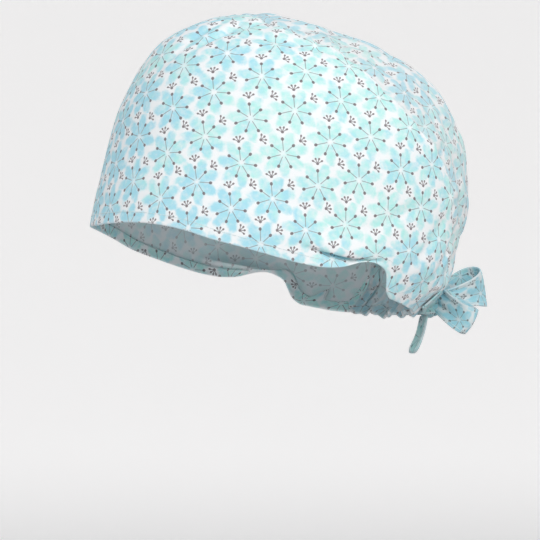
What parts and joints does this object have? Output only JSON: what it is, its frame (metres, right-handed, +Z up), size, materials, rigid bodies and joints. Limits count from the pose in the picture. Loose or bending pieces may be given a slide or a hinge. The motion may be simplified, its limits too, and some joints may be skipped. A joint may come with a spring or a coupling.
{
  "type": "surgical scrub cap",
  "caption": "Tie-back cloth scrub cap with a side panel, a crown panel gathered at the nape and flat ties knotted in a bow, with the shape it has on a head.",
  "frame": {"origin": "middle of the head opening, level with the band, where the cap sits on the head", "axes": "+Z up, -Y the way the wearer faces, +X the wearer's left"},
  "size_m": [0.1562, 0.2178, 0.1696],
  "materials": {
    "printed_cotton": "matte woven cotton with a small flower print"
  },
  "bodies": {
    "root": {"side_panel": "printed_cotton", "crown_panel": "printed_cotton", "tie_left": "printed_cotton", "tie_right": "printed_cotton", "tie_knot": "printed_cotton", "bow_loop_left": "printed_cotton", "bow_loop_right": "printed_cotton", "tie_tail_left": "printed_cotton", "tie_tail_right": "printed_cotton"}
  },
  "joints": []
}
